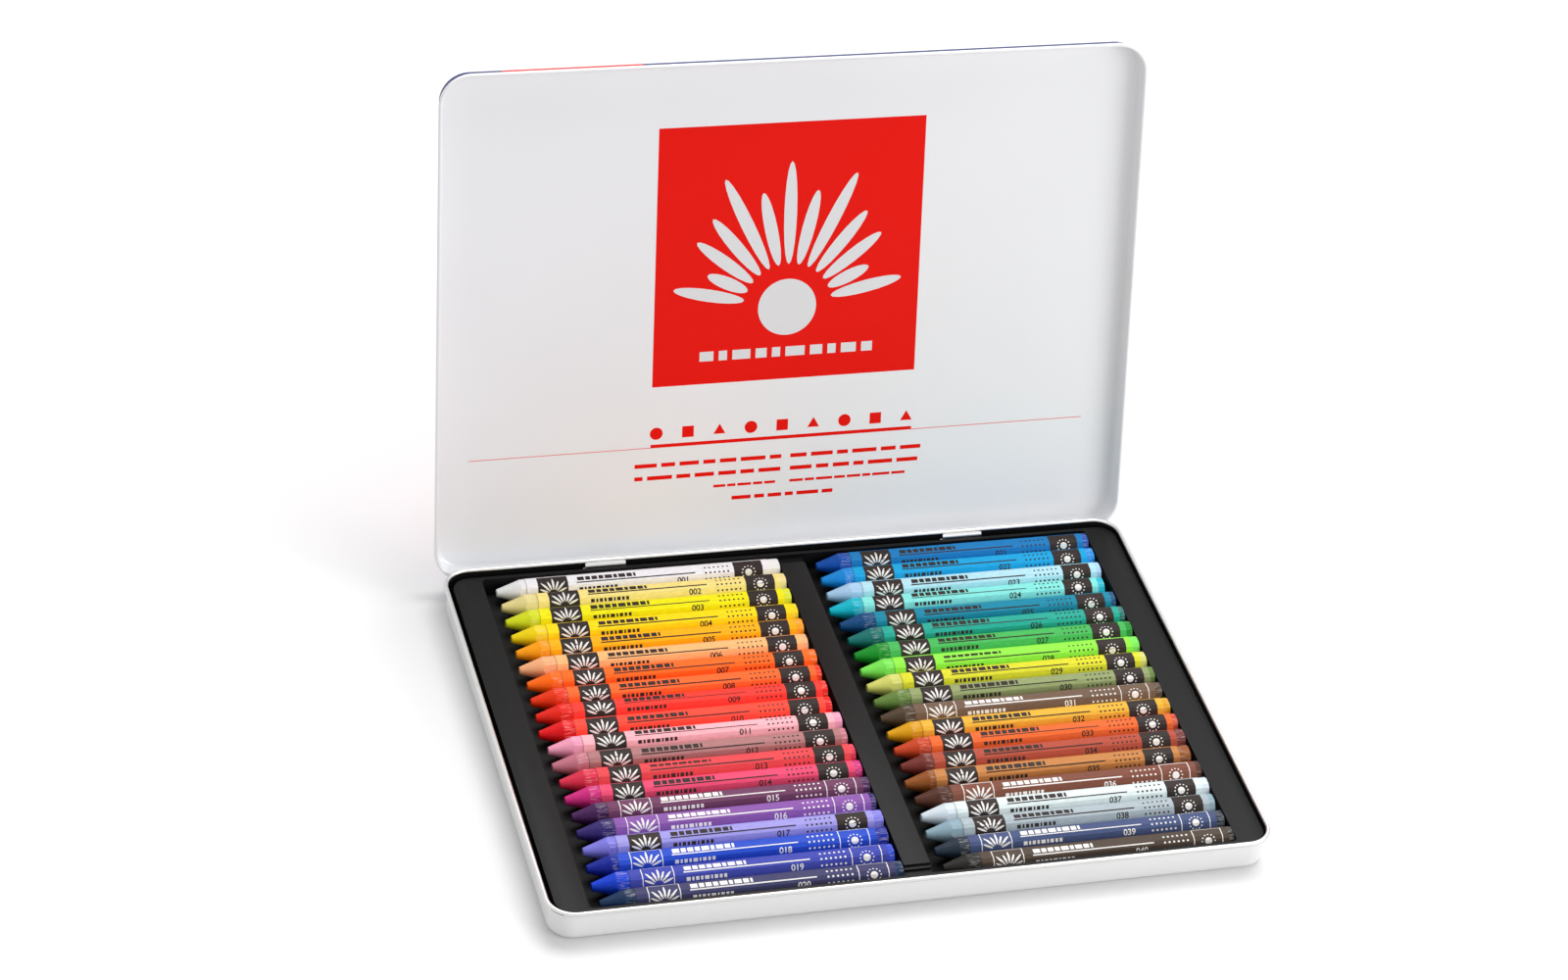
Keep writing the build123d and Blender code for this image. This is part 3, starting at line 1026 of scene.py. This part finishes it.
# %% Colour chart
left_colours = (
    ("white", "F1F1EF", "F4F2F6"), ("cream", "EEDD96", "F7E388"), ("lemon_yellow", "D9E21A", "F2EB00"),
    ("golden_yellow", "F5D800", "FFDD00"), ("orange_yellow", "FF9F00", "FFB200"),
    ("apricot", "F6B07E", "FDBB7A"), ("orange", "FF6A00", "FF6A1A"), ("vermilion", "E63000", "FF6A2C"),
    ("scarlet", "E3200F", "FF3B30"), ("red", "E00A14", "FF4A38"), ("light_pink", "EE9BB8", "FDB3BC"),
    ("dusty_rose", "BE7080", "AC7676"), ("carmine", "D62A48", "E2484F"), ("magenta", "C82478", "E4476E"),
    ("purple", "40164F", "6B3A5C"), ("violet", "2E1F66", "8654A4"), ("lavender", "7C78D8", "9C96DC"),
    ("ultramarine", "0A2090", "1F48C0"), ("cobalt_blue", "0A3CC8", "3C46A8"),
    ("navy_blue", "0C2C50", "3A3A62"),
)
right_colours = (
    ("azure_blue", "004DAA", "0A7CBF"), ("sky_blue", "0A8ADC", "0AA4DE"), ("pale_blue", "A9CFEE", "B4E2EF"),
    ("turquoise", "00B8CC", "84E4DC"), ("petrol_blue", "00467A", "0A85A2"), ("sea_green", "0A6E68", "1FA592"),
    ("grass_green", "0A8A24", "45B457"), ("light_green", "74E052", "8FEA45"),
    ("pistachio", "CFD069", "D9D62A"),
    ("olive_green", "607F38", "8E9B66"), ("umber", "4A3A2A", "6E5645"), ("ochre", "D69A00", "E3AE35"),
    ("rust_red", "C2401C", "E8672C"), ("maroon", "6E2A24", "B04C38"), ("caramel", "8E4E1E", "C07E42"),
    ("chestnut", "4E2A1E", "7A4838"), ("pale_grey", "D2DDE6", "DCE7E7"), ("blue_grey", "88A4B2", "A9B6BC"),
    ("slate", "1F2C3C", "414F78"), ("black", "1E1C1A", "4A3D33"),
)
pale_print = (
    "purple", "violet", "ultramarine", "cobalt_blue", "navy_blue", "umber", "chestnut", "slate", "black",
)
left_turn = (2, -5, 4, -1, 3, -3, 5, 1, -4, 2, -2, 4, -5, 3, -1, -4, 2, 5, -3, 1)
right_turn = (-3, 2, 4, -2, 1, 5, -4, 3, -1, 4, -5, 2, 0, -3, 5, -2, 3, -4, 1, 2)
wrap_shift = (-1.0, -1.8, 0.3, -0.4, 0.2, -0.6, 0.5, -0.2, 0.4, 0.3, 0.0, -0.5, 0.1, 0.5, -0.3, -0.2, 0.4)
print_shift = (0.3, -0.4, 0.1, 0.5, -0.2, 0.0, -0.6, 0.2, -0.1, 0.4, -0.3, 0.6, 0.0, -0.5, 0.2)
ink_lift = 0.03
second_ink_lift = 0.05
print("colours", len(left_colours) + len(right_colours), "of them pale prints", len(pale_print))

# %% [markdown]
# A pastel is copied from the finished stick, sleeve and label, each with a mesh of its own. The
# frame gives the box that it lies in, with its tip to the left.

# %% Lay the pastels in their bays
def own_copy(master, name):
    piece = master.copy()
    piece.data = master.data.copy()
    piece.name = name
    bpy.context.collection.objects.link(piece)
    return piece


def wear(piece, finish, matrix, body):
    piece.data.materials.clear()
    piece.data.materials.append(finish)
    piece.data.transform(matrix)
    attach(piece, body)


def lay_pastel(row, number, colour, turn, count):
    name, wax_colour, paper_colour = colour
    body = f"pastel_{row}_{number:02d}"
    low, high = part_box(body)
    middle = (low + high) / 2
    matrix = Matrix.Translation((low.x, middle.y, middle.z)) @ Matrix.Rotation(math.radians(turn), 4, "X")
    wax = own_copy(stick, f"{body}_wax")
    wear(wax, pressed_wax(f"wax_{name}", wax_colour, count, low.x), matrix, body)
    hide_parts(body)
    slid = wrap_shift[count % len(wrap_shift)] * MM
    wrapped = matrix @ Matrix.Translation((slid, 0, 0))
    edge_x = low.x + sleeve_from * MM + slid
    wrap = own_copy(sleeve, f"{body}_sleeve")
    wear(wrap, dyed_paper(f"paper_{name}", paper_colour, count, edge_x), wrapped, body)
    shift = print_shift[count % len(print_shift)]
    pale = name in pale_print
    drawn = outline_marks if pale else dark_marks
    marks = fold_label(drawn, f"{body}_print", shift, ink_lift, number_mesh(count))
    wear(marks, pale_ink if pale else dark_ink, wrapped, body)
    if not pale:
        motif = fold_label(pale_motif, f"{body}_print_pale", shift, second_ink_lift)
        wear(motif, pale_ink, wrapped, body)


for number in range(1, pastel_count + 1):
    lay_pastel("left", number, left_colours[number - 1], left_turn[number - 1], number)
    lay_pastel("right", number, right_colours[number - 1], right_turn[number - 1], number + pastel_count)
for master in (stick, sleeve, dark_marks, pale_motif, outline_marks):
    bpy.data.objects.remove(master)
print("pastels", 2 * pastel_count)

# %% [markdown]
# ## The print inside the lid
# The lid is printed inside with a red square. The square holds a plain fan of white strokes over a
# disc, and rows of simple shapes and short bars stand below it. All of it is drawn flat with y up
# from the hinge line, and laid on the shut lid's inner face before it is opened with the lid.

# %% Square and fan
print_middle = -0.3
square_half = 47.65
square_low = 62.0
square_high = square_low + 2 * square_half
panel_z = lid_top - tin_sheet
flip = Matrix.Rotation(math.pi, 4, "X")
lid_ink_lift = 0.03
lid_second_lift = 0.06


def on_lid(piece, finish, lift):
    place_print = Matrix.Translation((0, hinge_point.y, (panel_z - lift) * MM)) @ flip
    piece.data.materials.clear()
    piece.data.materials.append(finish)
    piece.data.transform(lid_opened @ place_print)
    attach(piece, "lid")
    print(piece.name, len(piece.data.polygons), "faces")


red_ink = enamel("printed_enamel_red", "F21002", 0.32, 0.0, 0.12)
lid_white_ink = enamel("printed_enamel_white", "E6E7EA", 0.3, 0.2)
square = blank_sheet("lid_print_square")
bar(print_middle - square_half, print_middle + square_half, square_low, square_high)
on_lid(leave_sheet(square), red_ink, lid_ink_lift)

fan = blank_sheet("lid_print_fan")
fan_y = square_low + 27
ray_count = 13
side_rays_shorter = 12
for step in range(ray_count):
    reach = 54 if step % 2 == 0 else 44
    if not 2 < step < ray_count - 3:
        reach -= side_rays_shorter
    ray(print_middle, fan_y, 12 + 13 * step, start=16, end=reach, width=4.6)
dot(print_middle, fan_y, radius=10.5, points=48)
foot_bars = (5, 3, 6.5, 4, 3, 7, 4.5, 3, 5.5, 4)
broken_line(print_middle - 31, square_low + 8.5, 3.6, foot_bars, gap=1.9)
on_lid(leave_sheet(fan), lid_white_ink, lid_second_lift)

# %% [markdown]
# Below the square stand a row of discs, squares and triangles over a bar, a hairline to each side
# of the bar, and broken lines in two columns.

# %% Lines under the square
bar_left = -48.0
bar_right = 47.3
bar_foot = 39.0
hairline = 0.22
shape_count = 9
shape_pitch = 11.4
shape_middle = 44.4
lines = blank_sheet("lid_print_lines")
bar(bar_left, bar_right, bar_foot, bar_foot + 1.3)
bar(-112.5, bar_left, bar_foot, bar_foot + hairline)
bar(bar_right, 111.4, bar_foot, bar_foot + hairline)
for mark in range(shape_count):
    x = -46.0 + shape_pitch * mark
    if mark % 3 == 0:
        dot(x, shape_middle, radius=2.3, points=24)
    elif mark % 3 == 1:
        bar(x - 2.1, x + 2.1, shape_middle - 2.1, shape_middle + 2.1)
    else:
        dot(x, shape_middle - 0.4, radius=2.5, points=3)
on_lid(leave_sheet(lines), red_ink, lid_ink_lift)

column_left = -53.5
column_right = 3.0
first_line = 31.6
second_line = 26.8
third_line = 22.2
small = blank_sheet("lid_print_small_lines")
broken_line(column_left, first_line, 1.5, (8, 5, 7, 4.4, 6, 9, 4.2), gap=1.6)
broken_line(column_left, second_line, 1.5, (3, 9, 5, 7, 6.4, 5, 8), gap=1.6)
broken_line(column_right, first_line, 1.5, (6, 8, 4, 9, 5.5, 7.6), gap=1.6)
broken_line(column_right, second_line, 1.5, (8, 4.6, 6, 3.8, 9, 7.8), gap=1.6)
broken_line(-24.8, third_line, 1.0, (4.4, 3, 5, 3.4, 4), gap=0.7)
broken_line(column_right, third_line, 1.0, (5, 3.4, 6, 4, 5, 3, 6.4, 5), gap=0.7)
broken_line(-18.0, 17.0, 1.4, (7, 3.6, 5, 3, 8, 4), gap=1.3)
on_lid(leave_sheet(small), red_ink, lid_ink_lift)

# %% [markdown]
# ## Floor, light and camera
# The floor is plain pale paper that takes the tin's shadow. Paper far from the lamps would turn
# grey, so it gets a faint glow that grows with the distance and that only the camera sees.

# %% Floor
def seen_directly(tree):
    # 1 where the camera sees the surface, also in a mirror or through glass, and 0 where light does
    seen = add(tree, "ShaderNodeLightPath")
    seen_or_mirrored = add(tree, "ShaderNodeMath", {
        0: seen.outputs["Is Camera Ray"], 1: seen.outputs["Is Glossy Ray"],
    }, operation="MAXIMUM")
    return add(tree, "ShaderNodeMath", {
        0: seen_or_mirrored.outputs["Value"], 1: seen.outputs["Is Transmission Ray"],
    }, operation="MAXIMUM")


clear_selection()
under_tin = -0.2 * MM
bpy.ops.mesh.primitive_grid_add(x_subdivisions=4, y_subdivisions=4, size=8, location=(0, 1, under_tin))
floor = bpy.context.object
floor.name = "studio_floor"
bpy.ops.object.transform_apply(location=True, rotation=True, scale=True)
floor_material, tree = new_material("studio_paper_pale")
spot = add(tree, "ShaderNodeTexCoord")
away = add(tree, "ShaderNodeVectorMath", {0: spot.outputs["Object"]}, operation="LENGTH")
faint = add(tree, "ShaderNodeMapRange", {
    "Value": away.outputs["Value"], "From Min": 0.4, "From Max": 1.4, "To Min": 0.05, "To Max": 0.6,
})
lift_value = add(tree, "ShaderNodeMath", {
    0: seen_directly(tree).outputs["Value"], 1: faint.outputs["Result"],
}, operation="MULTIPLY")
paper_bsdf = add(tree, "ShaderNodeBsdfDiffuse", {"Color": linear("EDEDED")})
glow = add(tree, "ShaderNodeEmission", {"Color": linear("FFFFFF"), "Strength": lift_value.outputs["Value"]})
both = add(tree, "ShaderNodeAddShader", {0: paper_bsdf.outputs["BSDF"], 1: glow.outputs["Emission"]})
add(tree, "ShaderNodeOutputMaterial", {"Surface": both.outputs["Shader"]})
floor.data.materials.append(floor_material)
print("floor", round(floor.dimensions.x, 1), "m wide")

# %% [markdown]
# The surroundings are white to the eye and to mirrors. They light the tin at about half of that, so
# that the lamps keep their share of the shading.

# %% White surroundings
world = bpy.data.worlds.new("studio_white")
bpy.context.scene.world = world
world.use_nodes = True
tree = world.node_tree
tree.nodes.clear()
level = add(
    tree, "ShaderNodeMapRange", {"Value": seen_directly(tree).outputs["Value"], "To Min": 0.52, "To Max": 1.0}
)
sky = add(tree, "ShaderNodeBackground", {"Color": linear("FFFFFF"), "Strength": level.outputs["Result"]})
add(tree, "ShaderNodeOutputWorld", {"Surface": sky.outputs["Background"]})
print("surroundings", world.name)

# %% [markdown]
# A broad softbox above and behind lights the pastels and leaves the shadow in front of the tin. A
# panel in front on the right lifts the front wall and the inside of the lid.

# %% Lamps
def soft_lamp(name, position, target, width, height, watts):
    lamp = bpy.data.lights.new(name, "AREA")
    lamp.shape = "RECTANGLE"
    lamp.size = width
    lamp.size_y = height
    lamp.energy = watts
    holder = bpy.data.objects.new(name, lamp)
    bpy.context.collection.objects.link(holder)
    holder.location = position
    holder.rotation_euler = (Vector(target) - Vector(position)).to_track_quat("-Z", "Y").to_euler()
    print(name, watts, "W")


soft_lamp("top_softbox", (0.35, 0.55, 1.5), (0, 0, 0), width=1.5, height=1.0, watts=23)
soft_lamp("front_panel", (1.05, -0.9, 0.6), (0, 0, 0.06), width=1.0, height=0.5, watts=7.6)

# %% [markdown]
# ## The camera
# The camera stands where the photographer stood, a long way off with a long lens. Its place comes
# from the straight edges of the tin, and the lens is shifted, because the picture was cropped.

# %% Camera
camera_place = Vector((-434.7, -1201.2, 1031.3)) * MM
camera_right = Vector((0.9448, -0.2992, 0.1333)).normalized()
camera_back = Vector((-0.3206, -0.7613, 0.5636)).normalized()
camera_up = camera_back.cross(camera_right).normalized()
camera_right = camera_up.cross(camera_back).normalized()
photo_width = 1600
photo_height = 1000
focal_pixels = 4881.88
axis_x = 1121.98
axis_y = 385.88
camera_data = bpy.data.cameras.new("photo_camera")
camera_data.sensor_width = 36
camera_data.lens = focal_pixels / photo_width * camera_data.sensor_width
camera_data.shift_x = (photo_width / 2 - axis_x) / photo_width
camera_data.shift_y = (axis_y - photo_height / 2) / photo_width
camera = bpy.data.objects.new("photo_camera", camera_data)
bpy.context.collection.objects.link(camera)
turned_to = Matrix((camera_right, camera_up, camera_back)).transposed().to_4x4()
camera.matrix_world = Matrix.Translation(camera_place) @ turned_to
bpy.context.scene.camera = camera
bpy.context.scene.view_settings.view_transform = "Standard"
print("lens", round(camera_data.lens, 1), "mm")
